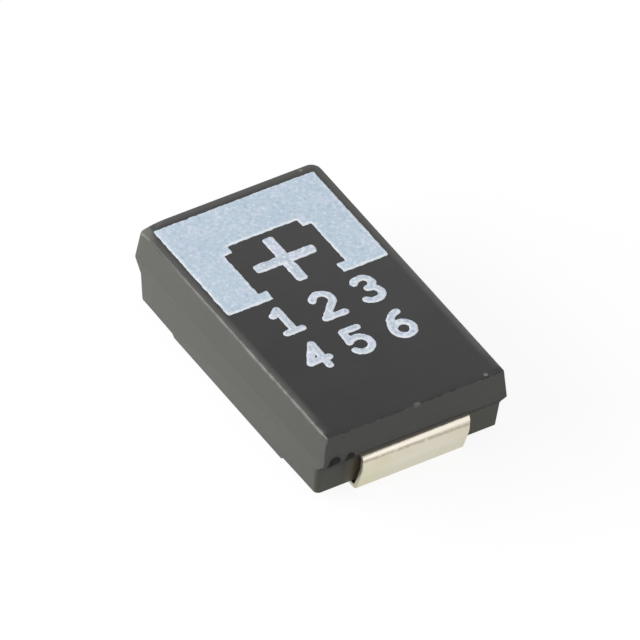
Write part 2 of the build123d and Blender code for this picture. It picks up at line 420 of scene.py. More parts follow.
corner_radius = 0.12
parting_radii = {(-1, -1): 0.09, (-1, 1): 0.09, (1, -1): 0.02, (1, 1): 0.02}
top_radii = {(-1, -1): 0.10, (-1, 1): 0.21, (1, -1): 0.05, (1, 1): 0.05}
lower_radii = {(-1, -1): 0.12, (-1, 1): 0.12, (1, -1): 0.12, (1, 1): 0.03}
weight = bm.edges.layers.float.new("bevel_weight_edge")
for edge in bm.edges:
    (x1, y1, z1), (x2, y2, z2) = (v.co for v in edge.verts)
    upright = abs(z1 - z2) > 0.1 and y1 * y2 > 0 and min(abs(x1), abs(x2)) > recess_end - 0.01
    edge[weight] = 1.0 if upright else 0.0
case = placed("moulded_case", finished_mesh("moulded_case", bm))
add_rounding(case, corner_radius, 8)
bake_modifiers(case)

scaled = 0
for vertex in case.data.vertices:
    x, y, z = vertex.co / MM
    quarter = (int(math.copysign(1, x)), int(math.copysign(1, y)))
    for level, half_length, radius in (
        (parting_height, parting_half_length, parting_radii[quarter]),
        (overall_height, top_half_length, top_radii[quarter]),
        (step_foot_height, lower_half_length, lower_radii[quarter]),
        (recess_roof, recess_end, lower_radii[quarter]),
    ):
        corner = Vector((math.copysign(half_length, x), math.copysign(half_width(level), y), z))
        offset = Vector((x, y, z)) - corner
        if abs(z - level) < 0.03 and offset.length < 0.3:
            vertex.co = (corner + offset * radius / corner_radius) * MM
            scaled += 1
print("corner points scaled:", scaled)

# %% [markdown]
# Then come the level edges. An edge of the top or the underside lies between a flat face and a steep
# one, so the normals of its two faces find it. The ridge at the parting line is soft along the sides
# and crisp at the ends.

# %% Case edges
top_edge_radius, floor_edge_radius = 0.035, 0.03
ridge_radius, crisp_radius = 0.06, 0.015

bm = bmesh.new()
bm.from_mesh(case.data)
weight = bm.edges.layers.float["bevel_weight_edge"]
for edge in bm.edges:
    edge[weight] = 0.0
    (x1, y1, z1), (x2, y2, z2) = (v.co / MM for v in edge.verts)
    if abs(z1 - z2) > 0.005:
        continue
    tilts = sorted(abs(face.normal.z) for face in edge.link_faces)
    at_flat = tilts[0] < 0.9 and tilts[-1] > 0.99
    radius = 0.0
    if at_flat and z1 > overall_height - 0.01:
        radius = top_edge_radius
    elif at_flat and z1 < recess_roof + 0.01 and (y1 * y2 > 0 or abs(x1) > recess_end - 0.2):
        radius = floor_edge_radius
    elif abs(z1 - parting_height) < 0.02:
        radius = ridge_radius if abs(x1 - x2) > 1 else crisp_radius
    elif abs(z1 - step_foot_height) < 0.02 and abs(x1) > recess_end:
        radius = crisp_radius
    edge[weight] = radius / ridge_radius
print("rounded level edges:", sum(edge[weight] > 0 for edge in bm.edges))
bm.to_mesh(case.data)
bm.free()
add_rounding(case, ridge_radius, 5)
bake_modifiers(case)

# %% [markdown]
# The marked end's near top corner is blunt, as if knocked in handling. Cuts across the corner give the
# flat faces points to bend at. The corner then sinks with the square of the distance from the last
# cut, which leaves no crease.

# %% Blunt corner
blunt_corner = Vector((-top_half_length, -top_half_width, overall_height))
inwards = Vector((1, 1, 0)).normalized()
blunt_reach, blunt_depth = 0.45, 0.10
blunt_floor, blunt_fade = 1.64, 0.13

bm = bmesh.new()
bm.from_mesh(case.data)
for share in (0.15, 0.25, 0.36, 0.48, 0.62, 0.80, 1.0):
    bmesh.ops.bisect_plane(
        bm,
        geom=bm.verts[:] + bm.edges[:] + bm.faces[:],
        plane_co=(blunt_corner + inwards * share * blunt_reach) * MM,
        plane_no=inwards,
    )
for vertex in bm.verts:
    share = 1 - (vertex.co / MM - blunt_corner).dot(inwards) / blunt_reach
    height = min(1.0, max(0.0, (vertex.co.z / MM - blunt_floor) / blunt_fade))
    if share > 0:
        vertex.co.z -= blunt_depth * share * share * height * MM
bm.to_mesh(case.data)
bm.free()
print("case has", len(case.data.polygons), "faces with its blunt corner")

# %% [markdown]
# Where the resin runner broke off, the parting line has two rough pits. A ball pushed about by noise
# gives the torn form, and a Boolean takes it out of the case. The ball is finer than the case, because
# only its inside shows. Weighted Normal then keeps the flat faces flat beside the rounded edges.

# %% Gate scar
outer_pit_y, inner_pit_y = -1.87, -1.51
pit_inset, pit_drop, pit_stretch = 0.03, 0.04, 1.35

bm = bmesh.new()
for pit_y, pit_radius in ((outer_pit_y, 0.15), (inner_pit_y, 0.12)):
    made = bmesh.ops.create_icosphere(bm, subdivisions=4, radius=pit_radius)
    for vertex in made["verts"]:
        torn = noise.noise(vertex.co * 14 + Vector((pit_y * 9, 0, 0))) * 0.5
        torn += noise.noise(vertex.co * 40 + Vector((0, pit_y * 9, 0))) * 0.2
        vertex.co *= 1 + 0.16 * torn
        vertex.co.z *= pit_stretch
        vertex.co += Vector((parting_half_length - pit_inset, pit_y, parting_height - pit_drop))
pits = placed("gate_pits", finished_mesh("gate_pits", bm))
scar = case.modifiers.new("gate_scar", "BOOLEAN")
scar.operation, scar.solver, scar.object = "DIFFERENCE", "EXACT", pits
case.data.shade_smooth()
flatness = case.modifiers.new("flat_faces", "WEIGHTED_NORMAL")
flatness.keep_sharp = True
flatness.weight = 100
bake_modifiers(case)
bpy.data.objects.remove(pits)

# %% [markdown]
# ## Epoxy
#
# The resin is black, but its surface is not: it is filled with ground silica and copies the fine
# spark-eroded texture of the mould, so it looks dark grey and dry. A painted light gradient makes it a
# little paler towards the marked end and the far side. The finish has four scales: slow clouds, grains of
# filler, the mould's texture as relief, and a few bright flakes of bare filler, painted as glints. All
# wear follows the distance to an edge, which comes from the case's own planes: of the distances to the
# top, the side and the end, the second smallest is the one to an edge.


# %% Distances on the case
def case_distances(x, y, z):
    """Millimetres from a point on the upper case to the planes of its top, side and end."""

    def drafted(half_size, across, upper_slope, lower_slope):
        depth, height = half_size - abs(across), z - parting_height
        return (depth - height * upper_slope).smaller(depth + height * lower_slope)

    side = drafted(parting_half_width, y, upper_side_slope, lower_side_slope)
    end = drafted(parting_half_length, x, upper_end_slope, lower_end_slope)
    return overall_height - z, side, end


def second_smallest(one, two, three):
    low, high = one.smaller(two), one.larger(two)
    return low.larger(high.smaller(three))


# %% [markdown]
# Every part of the finish asks the same of a point: its place, its distances, which way its face looks,
# and the noises there. So these are worked out once, and handed on together.


# %% What the finish knows of a point
def resin_point(tree, place):
    x, y, z = tree.coordinates(place)
    top, side, end = case_distances(x, y, z)
    normal = tree.add("ShaderNodeNewGeometry", output="Normal")
    return SimpleNamespace(
        x=x,
        y=y,
        z=z,
        side=side,
        end=end,
        edge=second_smallest(top, side, end),
        facing_up=tree.coordinates(normal)[2],
        on_top=top.rises(0.02, 0.005),
        plain_end=x.rises(3.3, 3.45),
        lower_end=abs(x).rises(3.15, 3.3) * z.rises(0.92, 0.80),
        clouds=tree.noise(place, 0.9, detail=4, roughness=0.6),
        filler=tree.noise(place, 16, detail=2),
        texture=tree.noise(place, 42, detail=3, roughness=0.6),
        broken=tree.noise(place, 5, detail=4, roughness=0.65),
    )


def resin_tone(tree, at):
    """The bare resin: a painted light gradient, paler towards -X and +Y; upright faces painted a little
    lighter and warmer than level ones; the lower end faces darker and warmest.
    """
    shade = (at.clouds - 0.5) * 0.26 + (at.broken - 0.5) * 0.16 + (at.filler - 0.5) * 0.14
    # painted light gradient: paler towards -X and +Y
    shade = shade + 0.5 + at.y * 0.060 - at.x * 0.052
    shade = shade - at.lower_end * at.z.rises(0.15, 0.40) * 0.22
    level = tree.blend(shade, shown(40, 40, 40), shown(71, 71, 71))
    # painted light by facing: upright faces a little lighter and warmer than level ones
    upright = tree.blend(shade, shown(43, 43, 38), shown(76, 76, 67))
    colour = tree.blend(at.facing_up.rises(0.6, 0.3) * 0.7, level, upright)
    return colour.towards(at.lower_end * 0.5, 50, 50, 31)


# %% [markdown]
# Around the flat top runs a paler rim, a painted highlight. Only the plain end has none: its edge is
# darker, its rounded edge is painted lighter in broken patches against its shade, and it has one painted
# glint on the edge and another on the top beside it. The long edges show a thin light line, partly rubbed
# wear and partly painted highlight, and the top of the blunt corner is painted light grey, as if lit like
# the side. What is rubbed looks drier too, so wear adds a little roughness.

# %% Worn edges and painted highlights
edge_glint_y, edge_glint_reach = 0.03, 0.10
top_glint_y, top_glint_inset = 1.67, 0.085
corner_light_length, corner_light_width = 0.46, 0.24


def squares(one, two):
    return one * one + two * two


def edge_wear_and_painted_light(at, colour):
    """The colour with its wear, its painted highlights and glints, and the roughness that the wear adds.
    """
    # painted highlight: a paler rim round the top face, left out at the plain end
    painted_rim_light = at.side.smaller(parting_half_length - 0.03 + at.x).rises(0.21, 0.07) * at.on_top
    painted_rim_light = painted_rim_light * (1 - at.plain_end) * (1 - at.x.rises(2.7, 3.1) * 0.6)
    colour = colour.towards(painted_rim_light * (0.65 + at.broken * 0.4), 86, 86, 84)
    dark_edge = at.end.rises(0.30, 0.03) * at.plain_end * at.on_top * at.broken.rises(0.42, 0.60)
    colour = colour.towards(dark_edge * 0.32, 38, 38, 37)
    # painted light on the plain end's rounded top edge, in broken patches, against its shade
    painted_bevel_light = at.edge.rises(0.045, 0.020) * at.plain_end * at.facing_up.rises(0.995, 0.96)
    colour = colour.towards(painted_bevel_light * at.broken.rises(0.62, 0.45) * 0.32, 98, 98, 94)

    # painted glints: one on the plain end's top edge and one on the top beside it
    edge_glint = at.plain_end * abs(at.y - edge_glint_y).rises(edge_glint_reach, 0.02) * (0.2 + at.filler * 0.9)
    top_glint = squares(at.end - top_glint_inset, at.y - top_glint_y).rises(0.0030, 0.0008) * at.on_top
    # the thin light line on the long edges: partly rubbed wear, partly painted edge highlight
    touched = at.edge.rises(0.085, 0.015)
    lengthwise = (1 - at.plain_end) * at.broken.rises(0.30, 0.62) * (at.x.rises(-3.0, 0.5) * 0.45 + 0.05)
    rubbed_and_highlit = touched * lengthwise.larger(edge_glint)
    colour = colour.towards(rubbed_and_highlit.larger(top_glint * 0.8), 124, 124, 119)

    # painted light: the top of the blunt corner takes the light grey of the lit side
    painted_corner_light = squares((at.x - blunt_corner.x) / corner_light_length, (at.y - blunt_corner.y) / corner_light_width)
    painted_corner_light = (painted_corner_light + (at.broken - 0.5) * 0.8).rises(1.1, 0.5) * at.facing_up.rises(0.3, 0.6)
    colour = colour.towards(painted_corner_light * 0.8, 100, 100, 94)
    return colour, (rubbed_and_highlit + touched * at.x.rises(-1.4, -2.8) * 1.6) * 0.20


# %% [markdown]
# The pits, the end face and the underside have their own tones. Shade is painted round and under the pits
# and inside them, which are also matt. Beside the strip a warm film of bled resin covers the end face,
# painted lighter to lift the shade in the gap. The slanted underside is rougher, so that it shows no
# sheen at a flat angle, and is painted darker, as shade on a face that looks down.


# %% Painted shade and bled resin on the end faces
def end_faces_shade_and_bleed(at, colour):
    """The colour with its painted shade and bled resin, and the roughness that they add."""
    outer, inner = abs(at.y - outer_pit_y), abs(at.y - inner_pit_y)
    height = at.z - parting_height
    # painted shade round the pits, and under them on the lower end face
    around = squares(outer, height).rises(0.075, 0.018).larger(squares(inner, height).rises(0.055, 0.012))
    below = at.lower_end * abs(at.y + 1.70).rises(0.42, 0.24) * at.z.rises(0.48, 0.78)
    painted_pit_shade = around.larger(below) * at.x.rises(3.0, 3.1)
    colour = colour.towards(painted_pit_shade * 0.5, 30, 30, 29)
    # painted shade inside the pits, which are also rougher
    inside_pits = outer.rises(0.20, 0.14).larger(inner.rises(0.17, 0.11)) * at.end.rises(0.005, 0.03)
    inside_pits = inside_pits * at.z.rises(0.80, 0.88) * at.z.rises(1.40, 1.30) * at.x.rises(3.2, 3.3)
    colour = colour.towards(inside_pits * 0.9, 52, 52, 50)
    # bled resin beside the strip, partly real tint, partly painted lighter to lift the shade in the gap
    beside_strip = at.lower_end * abs(at.y).rises(1.52, 1.27)
    colour = colour.towards(beside_strip, 104, 94, 80)
    # painted shade: faces that look down are darker; they are also rougher
    underneath = at.facing_up.rises(-0.15, -0.45)
    colour = colour.towards(underneath * 0.4, 40, 40, 38)
    return colour, underneath.larger(inside_pits) * 0.4


# %% [markdown]
# The whole finish puts these together in this order: resin, wear with painted edge light, then painted
# shade and bled resin. The bright flakes are filler that lies bare, painted brighter as glints; they come
# between, and stand out a little in the relief.


# %% Epoxy finish
def epoxy(tree, place):
    at = resin_point(tree, place)
    colour, rubbed_dry = edge_wear_and_painted_light(at, resin_tone(tree, at))
    flakes = tree.cells(place, 9).rises(0.075, 0.035) * tree.noise(place, 2.1).rises(0.62, 0.68)
    # bare filler flakes, painted brighter as glints
    colour = colour.towards(flakes * 0.7, 150, 148, 140)
    colour, end_faces_dry = end_faces_shade_and_bleed(at, colour)
    grain = (at.clouds - 0.5) * 0.16 + (at.texture - 0.5) * 0.12
    relief = tree.relief(at.texture * 0.7 + at.filler * 0.3 + flakes * 0.6, 0.004)
    return look(colour, 0.52 + grain + rubbed_dry + end_faces_dry, relief)


epoxy_finish = finish("black_epoxy", epoxy, IOR=1.5)


def settle(piece, material, slot, *nodes):
    """Gives a finished piece its material and its body, and hides the CAD nodes that it stands for. The
    slot is not used.
    """
    if material is not None:
        piece.data.materials.clear()
        piece.data.materials.append(material)
    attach(piece, "root")
    if nodes:
        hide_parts(*nodes)
    print(piece.name, "stands for", nodes or "nothing in the CAD model")


settle(case, epoxy_finish, "case_epoxy", "case")

# %% [markdown]
# ## Folded terminals
#
# Each terminal is one strip, punched flat and folded after moulding: shoulder, drop, lean and foot
# outside, and a step down to a tab or a narrow tongue inside. Bending a flat mesh by hand would take
# many steps. Because the strip follows a line with a known radius at each fold, Geometry Nodes make
# it: the corner points carry their radius, Fillet Curve rounds them, and a rounded rectangle is swept
# along. The points also say where the strip is punched narrower.


# %% Strip that follows a folded line
def strip_tree():
    group = bpy.data.node_groups.new("folded_strip", "GeometryNodeTree")
    group.is_modifier = True
    inputs = {}
    for name, kind in (
        ("Line", "Geometry"),
        ("Width", "Float"),
        ("Thickness", "Float"),
        ("Edge radius", "Float"),
        ("Trim at each side", "Float"),
        ("Segments of a fold", "Int"),
        ("Plating", "Material"),
    ):
        socket = group.interface.new_socket(name, in_out="INPUT", socket_type="NodeSocket" + kind)
        inputs[name] = socket.identifier
    group.interface.new_socket("Strip", in_out="OUTPUT", socket_type="NodeSocketGeometry")
    tree = Tree(group)
    entry = group.nodes.new("NodeGroupInput")
    given = {name: Signal(tree, entry.outputs[name]) for name in inputs}

    def stored(name):
        return tree.add("GeometryNodeInputNamedAttribute", {"data_type": "FLOAT"}, {"Name": name})

    def rounded(curve, count, radius):
        sockets = {"Curve": curve, "Count": count, "Radius": radius}
        return tree.add("GeometryNodeFilletCurve", {"mode": "POLY"}, sockets)

    line = tree.add("GeometryNodeMeshToCurve", None, {"Mesh": given["Line"]})
    line = rounded(line, given["Segments of a fold"], stored("fold"))
    section = tree.add(
        "GeometryNodeCurvePrimitiveQuadrilateral",
        {"mode": "RECTANGLE"},
        {"Width": given["Width"], "Height": given["Thickness"]},
    )
    section = rounded(section, 3, given["Edge radius"])
    strip = tree.add(
        "GeometryNodeCurveToMesh", None, {"Curve": line, "Profile Curve": section, "Fill Caps": True}
    )
    sideways = tree.coordinates(tree.add("GeometryNodeInputPosition"))[1]
    inwards = sideways.sign() * stored("narrow") * given["Trim at each side"] * -1
    offset = tree.add("ShaderNodeCombineXYZ", None, {"Y": inwards})
    strip = tree.add("GeometryNodeSetPosition", None, {"Geometry": strip, "Offset": offset})
    strip = tree.add("GeometryNodeSetShadeSmooth", None, {0: strip})
    strip = tree.add("GeometryNodeRealizeInstances", None, {0: strip})
    strip = tree.add("GeometryNodeSetMaterial", None, {0: strip, "Material": given["Plating"]})
    tree.add("NodeGroupOutput", None, {0: strip}, output=None)
    return group, inputs


folded_strip, strip_inputs = strip_tree()
print("inputs of the strip:", ", ".join(strip_inputs))

# %% [markdown]
# The corner points are those of the CAD source. Each has its X, its height, the radius of its fold, and
# a 1 where the strip is punched narrower. Outside the case both terminals are alike, so the outside is
# written once and mirrored for the anode.

# %% Corner points of the strips
strip_thickness, terminal_width, tongue_width = 0.10, 2.50, 1.10
exit_height = parting_height - strip_thickness / 2
lean_height, foot_height = 0.66, strip_thickness / 2
tab_height, tongue_height = 0.32, 0.83
drop_x = terminal_face - strip_thickness / 2
heel_x = recess_end + 0.05 + strip_thickness / 2
foot_tip = terminal_face - 1.30
tongue_end = 0.12 - lower_half_length
outside = [
    (drop_x, exit_height, 0.15),
    (drop_x, lean_height, 0.50),
    (heel_x, foot_height, 0.10),
    (foot_tip, foot_height, 0.0),
]

cathode_points = [(0.15, tab_height, 0.0, 0), (2.75, tab_height, 0.10, 0), (3.05, exit_height, 0.10, 0)]
cathode_points += [(x, z, fold, 0) for x, z, fold in outside]
anode_points = [(-2.25, tongue_height, 0.0, 1), (-2.95, tongue_height, 0.10, 1)]
anode_points += [(-3.20, exit_height, 0.10, 1)]
anode_points += [(tongue_end + 0.002, exit_height, 0.0, 1), (tongue_end - 0.002, exit_height, 0.0, 0)]
anode_points += [(-x, z, fold, 0) for x, z, fold in outside]


def store(mesh, name, values):
    """Keeps one number for each point of a mesh."""
    mesh.attributes.new(name, "FLOAT", "POINT").data.foreach_set("value", values)


def folded_terminal(name, points):
    """A strip swept along its corner points, as a plain mesh."""
    mesh = bpy.data.meshes.new(name)
    places = [(x * MM, 0, z * MM) for x, z, _, _ in points]
    mesh.from_pydata(places, [(i, i + 1) for i in range(len(points) - 1)], [])
    store(mesh, "fold", [fold * MM for _, _, fold, _ in points])
    store(mesh, "narrow", [float(narrow) for *_, narrow in points])
    piece = placed(name, mesh)
    sweep = piece.modifiers.new("strip", "NODES")
    sweep.node_group = folded_strip
    for socket, value in (
        ("Width", terminal_width * MM),
        ("Thickness", strip_thickness * MM),
        ("Edge radius", 0.016 * MM),
        ("Trim at each side", (terminal_width - tongue_width) / 2 * MM),
        ("Segments of a fold", 12),
        ("Plating", tin_finish),
    ):
        sweep[strip_inputs[socket]] = value
    flats = piece.modifiers.new("flat_faces", "WEIGHTED_NORMAL")
    flats.weight = 100
    bake_modifiers(piece)
    places = np.array([vertex.co for vertex in piece.data.vertices]) / MM
    print(name, "from", np.round(places.min(0), 3), "to", np.round(places.max(0), 3), "mm")
    return piece


# %% [markdown]
# ## Tin plating
#
# The strip is plated with matt tin before it is folded. Tin is a warm, pale grey, yellower towards -Y and
# low down, and a little darker towards the bottom. The fold at the shoulder carries a painted highlight,
# with painted shade above it, and a short way under it runs a faint broken dark line. Where the strip
# leaves the case, a painted reflection of the dark case covers it, without the metal's shine. The rolled
# metal leaves very fine lines along the strip. The narrow edges were cut after plating and are duller.


# %% Tin finish
def tin(tree, place):
    x, y, z = tree.coordinates(place)
    clouds = tree.noise(place, 1.6, detail=3, roughness=0.6)
    rolled = tree.noise(tree.stretched(place, 1.2, 34, 1.2), 1.0, detail=3, roughness=0.6)
    crystals = tree.noise(place, 26, detail=2)
    broken = tree.noise(place, 6, detail=3, roughness=0.6)
    cut = abs(y).rises(1.235, 1.249)
    outside = abs(x).rises(3.40, 3.46)
    # painted highlight along the fold at the shoulder, and painted shade above it
    painted_bend_highlight = outside * z.rises(0.910, 0.945)
    shoulder = outside * z.rises(0.970, 1.000)
    # a faint broken darker line a short way under the bend
    wander = y * 0.03 + (broken - 0.5) * 0.08
    dark_line_under_bend = outside * abs(z - 0.875 + wander).rises(0.060, 0.015) * broken.rises(0.30, 0.50)
    # painted reflection of the dark case where the strip leaves it, made non-metallic
    painted_case_reflection = outside * (z + (broken - 0.5) * 0.02).rises(1.018, 1.040)

    colour = tree.blend(clouds.rises(0.38, 0.66), shown(219, 213, 197), shown(214, 208, 186))
    # yellower towards -Y and low down
    yellower_low_side = y.rises(-0.1, -1.2) * z.rises(0.95, 0.50)
    colour = colour.towards(yellower_low_side * 0.8, 214, 209, 172)
    colour = colour.towards((rolled - 0.5) * 0.16 + 0.08, 196, 190, 174)
    colour = colour.towards(z.rises(0.55, 0.30) * 0.4, 198, 195, 172)
    colour = colour.towards(painted_bend_highlight, 244, 237, 224)
    colour = colour.towards(shoulder, 204, 196, 182)
    colour = colour.towards(dark_line_under_bend * 0.75, 178, 163, 143)
    colour = colour.towards(cut * 0.6, 176, 170, 156)
    colour = colour.towards(painted_case_reflection, 98, 93, 84)
    roughness = 0.31 + (clouds - 0.5) * 0.12 + (crystals - 0.5) * 0.06 + cut * 0.15 + painted_case_reflection * 0.25
    relief = tree.relief(rolled * 0.4 + crystals * 0.6, 0.0007)
    return look(colour, roughness, relief, Metallic=1 - painted_case_reflection)


tin_finish = finish("matt_tin", tin)

# %% [markdown]
# The strips get their plating inside Geometry Nodes, so only the body is left to give. Each stands for
# the CAD terminal in whose place it lies.

# %% Both terminals
for name, points, node in (
    ("anode_strip", anode_points, "anode_terminal"),
    ("cathode_strip", cathode_points, "cathode_terminal"),
):
    settle(folded_terminal(name, points), None, "terminal_plating", node)

# %% [markdown]
# ## Printed marks
#
# The band, the plus sign and the numbers are one thin layer of pale ink. Each outline is a formula
# that gives the distance to its edge, below zero inside. Formulas join and cut with a plain minimum
# and maximum, and a little noise added to the distance makes the slightly ragged edge of real ink.
# The filled shape is then cut out of a fine grid, square by square, and each point remembers how deep it
# lies in the ink and which way the nearest edge faces along X, for the painted rim highlight.


# %% Distances to outlines
def slab(x, y, low_x, high_x, half_y, radius=0.0):
    """Distance to a rectangle from low_x to high_x along X, and half_y to each side."""
    dx = abs(x - (low_x + high_x) / 2) - (high_x - low_x) / 2 + radius
    dy = abs(y) - half_y + radius
    outside = np.hypot(np.maximum(dx, 0), np.maximum(dy, 0))
    return outside + np.minimum(np.maximum(dx, dy), 0) - radius


band_length, band_end_margin, band_side_margin = 2.85, 0.23, 0.19
window_width, window_reach, window_step = 2.04, 1.76, 0.21
tab_length, tab_reach = 0.27, 0.20
plus_size, plus_bar, plus_margin = 1.41, 0.25, 0.16
sheet_rounding, window_rounding, plus_rounding = 0.05, 0.03, 0.07

band_start = band_end_margin - top_half_length
band_open_side = band_start + band_length
window_blind_side = band_open_side - window_reach
plus_x = window_blind_side + plus_margin + plus_size / 2


def band(x, y):
    past_the_band = band_open_side + 0.5
    before_the_tabs = band_open_side - tab_length
    stepped_start = window_blind_side + window_step
    half_mouth = window_width / 2 - tab_reach
    window = np.minimum(
        slab(x, y, window_blind_side, past_the_band, half_mouth, window_rounding),
        slab(x, y, stepped_start, before_the_tabs, window_width / 2, window_rounding),
    )
    half_sheet = top_half_width - band_side_margin
    sheet = slab(x, y, band_start, band_open_side, half_sheet, sheet_rounding)
    return np.maximum(sheet, -window)


def plus(x, y):
    arm = plus_size / 2
    along = slab(x - plus_x, y, -arm, arm, plus_bar / 2, plus_rounding)
    over = slab(y, x - plus_x, -arm, arm, plus_bar / 2, plus_rounding)
    return np.minimum(along, over)


print("band from", round(band_start, 3), "to", round(band_open_side, 3), "plus at", round(plus_x, 3))

# %% [markdown]
# The numbers are plain ones, 1 to 6, in two rows. Each is a few pen strokes: straight runs and arcs of
# ellipses in a box that is one character wide and high. A stroke's distance is the distance to its
# line less half the pen's width, which rounds every end as a print does.


# %% Numbers as pen strokes
def arc(centre_u, centre_v, radius_u, radius_v, start, end, steps=14):
    angles = np.radians(np.linspace(start, end, steps))
    return [(centre_u + radius_u * math.cos(a), centre_v + radius_v * math.sin(a)) for a in angles]


strokes = {
    1: [[(-0.13, 0.21), (0.03, 0.345), (0.03, -0.345)], [(-0.15, -0.345), (0.20, -0.345)]],
    2: [arc(0.0, 0.145, 0.20, 0.20, 160, -35) + [(-0.21, -0.345), (0.215, -0.345)]],
    3: [arc(-0.01, 0.175, 0.19, 0.17, 150, -80), arc(-0.01, -0.165, 0.215, 0.18, 85, -150)],
    4: [[(0.10, -0.345), (0.10, 0.345), (-0.21, -0.13), (0.215, -0.13)]],
    5: [[(0.18, 0.345), (-0.15, 0.345), (-0.18, 0.02)] + arc(-0.01, -0.125, 0.22, 0.22, 130, -150)],
    6: [arc(0.0, -0.145, 0.20, 0.20, 0, 360, 28), arc(0.17, -0.145, 0.37, 0.49, 180, 95)],
}
pen_width = 0.17
rows = [(0.1875, (1, 2, 3)), (1.375, (4, 5, 6))]
character_spacing = 0.975


def run_distance(u, v, start, end):
    """Distance to a straight run of the pen from start to end."""
    (u1, v1), (u2, v2) = start, end
    du, dv = u2 - u1, v2 - v1
    share = np.clip(((u - u1) * du + (v - v1) * dv) / (du * du + dv * dv), 0, 1)
    return np.hypot(u - u1 - share * du, v - v1 - share * dv)


def numbers(x, y):
    """The rows read along +Y, and the top of each number is towards -X."""
    nearest = np.full(np.shape(x), 9.0)
    for row_x, digits in rows:
        for place, digit in enumerate(digits):
            u, v = y - (place - 1) * character_spacing, row_x - x
            for stroke in strokes[digit]:
                for start, end in zip(stroke, stroke[1:]):
                    nearest = np.minimum(nearest, run_distance(u, v, start, end))
    return nearest - pen_width / 2


# %% [markdown]
# A grid square that lies inside the outline is kept whole. One that the edge crosses keeps its inner
# corners and gets a new point on each side that is crossed, where the distance is zero. That is
# marching squares. The layer is 4 thousandths of a millimetre thick and thins out at its rim. Its
# underside lies just under the top face, so that no gap shows.

# %% Ink cut out of a grid
cell = 0.02
ink_height, ink_slope_run, ink_root = 0.004, 0.03, 0.001


def ink_layer(name, distance, low, high, ragged):
    """A closed thin layer of ink where distance(x, y) is below zero, between two corners."""
    xs = np.arange(low[0], high[0] + cell, cell)
    ys = np.arange(low[1], high[1] + cell, cell)
    grid_x, grid_y = np.meshgrid(xs, ys, indexing="ij")
    wander = [
        noise.noise((x * 9, y * 9, 1.3)) + 0.6 * noise.noise((x * 24, y * 24, 7.1))
        for x, y in zip(grid_x.ravel(), grid_y.ravel())
    ]
    clean = distance(grid_x, grid_y)
    outwards = np.gradient(clean, cell, axis=0)
    values = clean + ragged * np.reshape(wander, grid_x.shape)
    points, depths, leans, faces, made = [], [], [], [], {}

    def point(key, x, y, depth, corner):
        if key not in made:
            made[key] = len(points)
            points.append((x, y, overall_height + ink_height * min(1.0, depth / ink_slope_run)))
            depths.append(depth)
            leans.append(outwards[corner])
        return made[key]

    lowest = np.minimum.reduce([values[:-1, :-1], values[1:, :-1], values[:-1, 1:], values[1:, 1:]])
    for i, j in np.argwhere(lowest < 0):
        corners = [(i, j), (i + 1, j), (i + 1, j + 1), (i, j + 1)]
        outline = []
        for one, two in zip(corners, corners[1:] + corners[:1]):
            a, b = values[one], values[two]
            if a < 0:
                outline.append(point(one, xs[one[0]], ys[one[1]], -a, one))
            if (a < 0) != (b < 0):
                t = a / (a - b)
                x = xs[one[0]] + t * (xs[two[0]] - xs[one[0]])
                y = ys[one[1]] + t * (ys[two[1]] - ys[one[1]])
                outline.append(point(frozenset((one, two)), x, y, 0.0, one))
        faces.append(tuple(outline))

    sides = [pair for face in faces for pair in zip(face, face[1:] + face[:1])]
    inner = set(sides)
    total = len(points)
    walls = [(b, a, a + total, b + total) for a, b in sides if (b, a) not in inner]
    under = [tuple(i + total for i in reversed(face)) for face in faces]
    lower = [(x, y, overall_height - ink_root) for x, y, _ in points]
    mesh = bpy.data.meshes.new(name)
    mesh.from_pydata(np.array(points + lower) * MM, [], faces + walls + under)
    store(mesh, "depth", depths + depths)
    store(mesh, "lean", leans + leans)
    piece = placed(name, mesh)
    print(name, "has", len(mesh.polygons), "faces")
    return piece


# %% [markdown]
# ## Ink
#
# The ink is pale blue-grey, matt and slightly speckled: the pigment dries in tiny lighter grains, and
# here and there the black resin shows through a pinhole. Along every outline runs a paler rim, a painted
# highlight where the ink's edge catches the light, brightest on the edges that face the plain end. The
# rim follows the stored depth and direction, and the rest follows the place. The plus sign and the
# numbers took less ink, so they are more mottled and a little more violet.


# %% Ink finish
def ink(mottle, dark, pale, rim_highlight_colour):
    """An ink whose grains are mottle times as strong, between two colours, with a painted rim highlight.
    """

    def varied(tree, place):
        depth = tree.add("ShaderNodeAttribute", {"attribute_name": "depth"}, output="Fac")
        lean = tree.add("ShaderNodeAttribute", {"attribute_name": "lean"}, output="Fac")
        clouds = tree.noise(place, 1.1, detail=3)
        grains = tree.noise(place, 11, detail=3, roughness=0.7)
        specks = tree.noise(place, 24, detail=2, roughness=0.6)
        hue = tree.noise(place, 2.6, detail=2)
        pinholes = tree.cells(place, 11).rises(0.13, 0.05) * tree.noise(place, 3.1).rises(0.52, 0.62)
        # painted rim highlight, brightest where the edge faces +X
        edge = depth.rises(0.085, 0.035) * (0.45 + lean * 0.50 + (grains - 0.5) * 1.2)
        colour = tree.blend(clouds, shown(*dark), shown(*pale))
        colour = colour.towards(hue.rises(0.52, 0.66) * 0.35 * mottle, 212, 214, 236)
        colour = colour.towards(grains.rises(0.50, 0.70) * 0.55 * mottle, 232, 240, 248)
        colour = colour.towards(grains.rises(0.47, 0.30) * 0.50 * mottle, 158, 170, 190)
        colour = colour.towards(edge, *rim_highlight_colour)
        colour = colour.towards(pinholes * 0.5, 96, 102, 110)
        roughness = 0.58 + (specks - 0.5) * 0.20
        normal = tree.relief(grains * 0.5 + specks * 0.5 - pinholes, 0.005)
        return look(colour, roughness, normal)

    return varied


full_ink = finish("full_ink", ink(1.0, (181, 198, 214), (194, 209, 222), (230, 236, 240)), IOR=1.45)
thin_ink = finish("thin_ink", ink(1.8, (183, 194, 208), (200, 210, 221), (227, 231, 236)), IOR=1.45)

